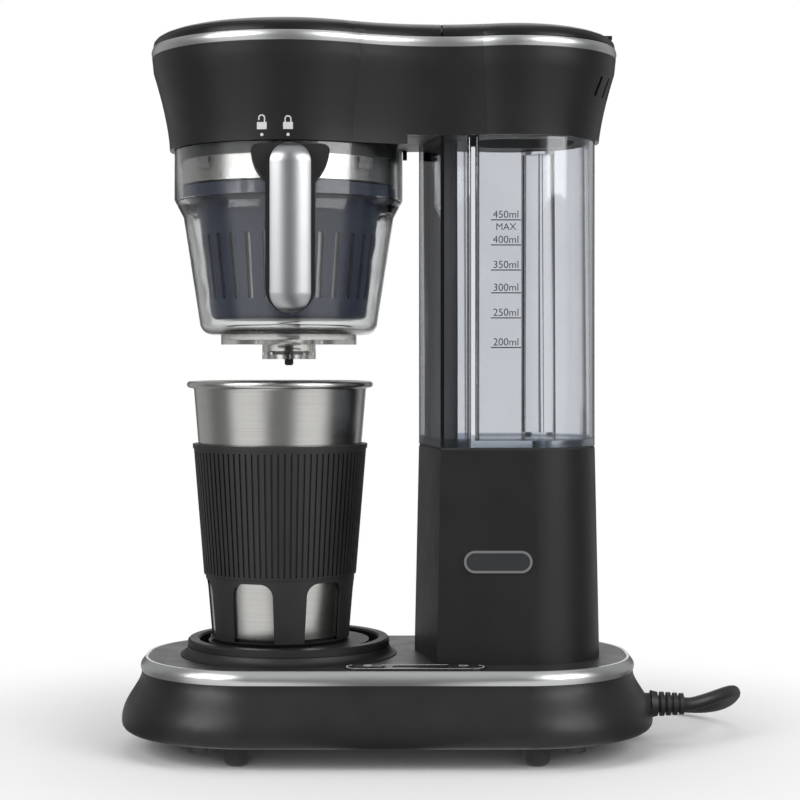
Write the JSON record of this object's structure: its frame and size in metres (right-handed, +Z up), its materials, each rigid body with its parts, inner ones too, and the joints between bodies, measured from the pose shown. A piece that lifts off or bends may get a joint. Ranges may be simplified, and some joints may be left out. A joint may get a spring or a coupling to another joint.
{
  "type": "grind and brew coffee maker",
  "caption": "Compact coffee maker with a grinder head, clear brew holder with bayonet and handle, side water tank with hinged lid, push buttons and a steel cup on its stand.",
  "frame": {"origin": "on the table, under the middle of the machine's box without its cord", "axes": "+Z up, front towards -Y, cup on the -X side and tank on the +X side"},
  "size_m": [0.2865, 0.2354, 0.3252],
  "materials": {
    "housing_black": "moulded black plastic, satin gloss",
    "deck_grey": "fine textured dark grey plastic",
    "cover_gloss": "glossy black plastic",
    "trim_silver": "satin silver coating",
    "button_dark": "dark satin plastic",
    "bezel_grey": "dark grey plastic",
    "foot_rubber": "matt",
    "sleeve_silicone": "matt silicone",
    "steel": "brushed",
    "chrome": "polished",
    "clear_plastic": "clear moulded plastic",
    "tank_clear": "clear moulded plastic, slight blue grey tint",
    "filter_navy": "dark navy plastic",
    "mesh_steel": "woven mesh",
    "seal_black": "matt",
    "hose_grey": "silicone hose",
    "heater_alloy": "cast",
    "motor_metal": "zinc plated",
    "board_green": "lacquered",
    "valve_plastic": "moulded",
    "cord_black": "matt",
    "badge_dark": "dark plate, left blank",
    "grip_black": "satin"
  },
  "bodies": {
    "base": {"base_shell": "housing_black", "base_trim": "trim_silver", "deck_plate": "deck_grey", "bottom_plate": "deck_grey", "bottom_screws": "steel", "feet": "foot_rubber", "cup_stand": "grip_black", "control_bezel": "bezel_grey", "control_board": "board_green", "column_shell": "housing_black", "badge_rim": "chrome", "badge_plate": "badge_dark", "heater_bracket": "motor_metal", "heater_body": "heater_alloy", "thermostat": "heater_alloy", "check_valve": "valve_plastic", "cold_hose": "valve_plastic", "hot_riser": "hose_grey", "water_spout": "grip_black", "tank_gasket": "seal_black", "tank": "tank_clear", "wire_conduit": "grip_black", "head_shell": "housing_black", "head_floor": "grip_black", "head_trim": "trim_silver", "top_cover": "cover_gloss", "fill_well": "grip_black", "lid_hinge_pin": "steel", "bayonet_ring": "steel", "motor_plate": "motor_metal", "motor_screws": "steel", "motor_can": "motor_metal", "shaft_seal": "seal_black", "interlock_switch": "bezel_grey", "strain_relief": "cord_black", "cord_lead": "cord_black", "cord_coil": "cord_black", "cord_tie": "grip_black", "plug_body": "cord_black", "plug_pins": "chrome"},
    "lid": {"tank_lid": "cover_gloss"},
    "grinder": {"motor_shaft": "steel", "grinder_blade": "steel", "blade_nut": "steel"},
    "holder": {"holder_bucket": "clear_plastic", "filter_basket": "filter_navy", "filter_mesh": "mesh_steel", "handle_core": "grip_black", "handle_cap": "trim_silver", "handle_screws": "steel", "valve_spring": "steel"},
    "drip_valve": {"drip_pin": "grip_black", "valve_seal": "seal_black"},
    "cup": {"steel_cup": "steel", "cup_sleeve": "sleeve_silicone"},
    "left_button": {"button_left": "button_dark"},
    "right_button": {"button_right": "button_dark"}
  },
  "joints": [
    {"name": "lid_hinge", "type": "hinge", "parent": "base", "child": "lid", "pos_m": [0.024, 0.0065, 0.323], "axis": [0, -1, 0], "range_deg": [0, 95]},
    {"name": "holder_turn", "type": "hinge", "parent": "base", "child": "holder", "pos_m": [-0.045, 0.0065, 0.25], "axis": [0, 0, 1], "range_deg": [-11, 0]},
    {"name": "grinder_spin", "type": "hinge", "parent": "base", "child": "grinder", "pos_m": [-0.045, 0.0065, 0.25], "axis": [0, 0, 1], "continuous": true},
    {"name": "drip_lift", "type": "slide", "parent": "holder", "child": "drip_valve", "axis": [0, 0, 1], "range_m": [0, 0.003], "stiffness_N_per_m": 150, "springref_m": -0.001, "deforming": ["valve_spring"]},
    {"name": "cup_draw", "type": "slide", "parent": "base", "child": "cup", "axis": [0, -0.9889, 0.1483], "range_m": [0, 0.15]},
    {"name": "button_left_press", "type": "slide", "parent": "base", "child": "left_button", "axis": [0, 0, -1], "range_m": [0, 0.0012], "stiffness_N_per_m": 400, "springref_m": -0.001},
    {"name": "button_right_press", "type": "slide", "parent": "base", "child": "right_button", "axis": [0, 0, -1], "range_m": [0, 0.0012], "stiffness_N_per_m": 400, "springref_m": -0.001}
  ]
}
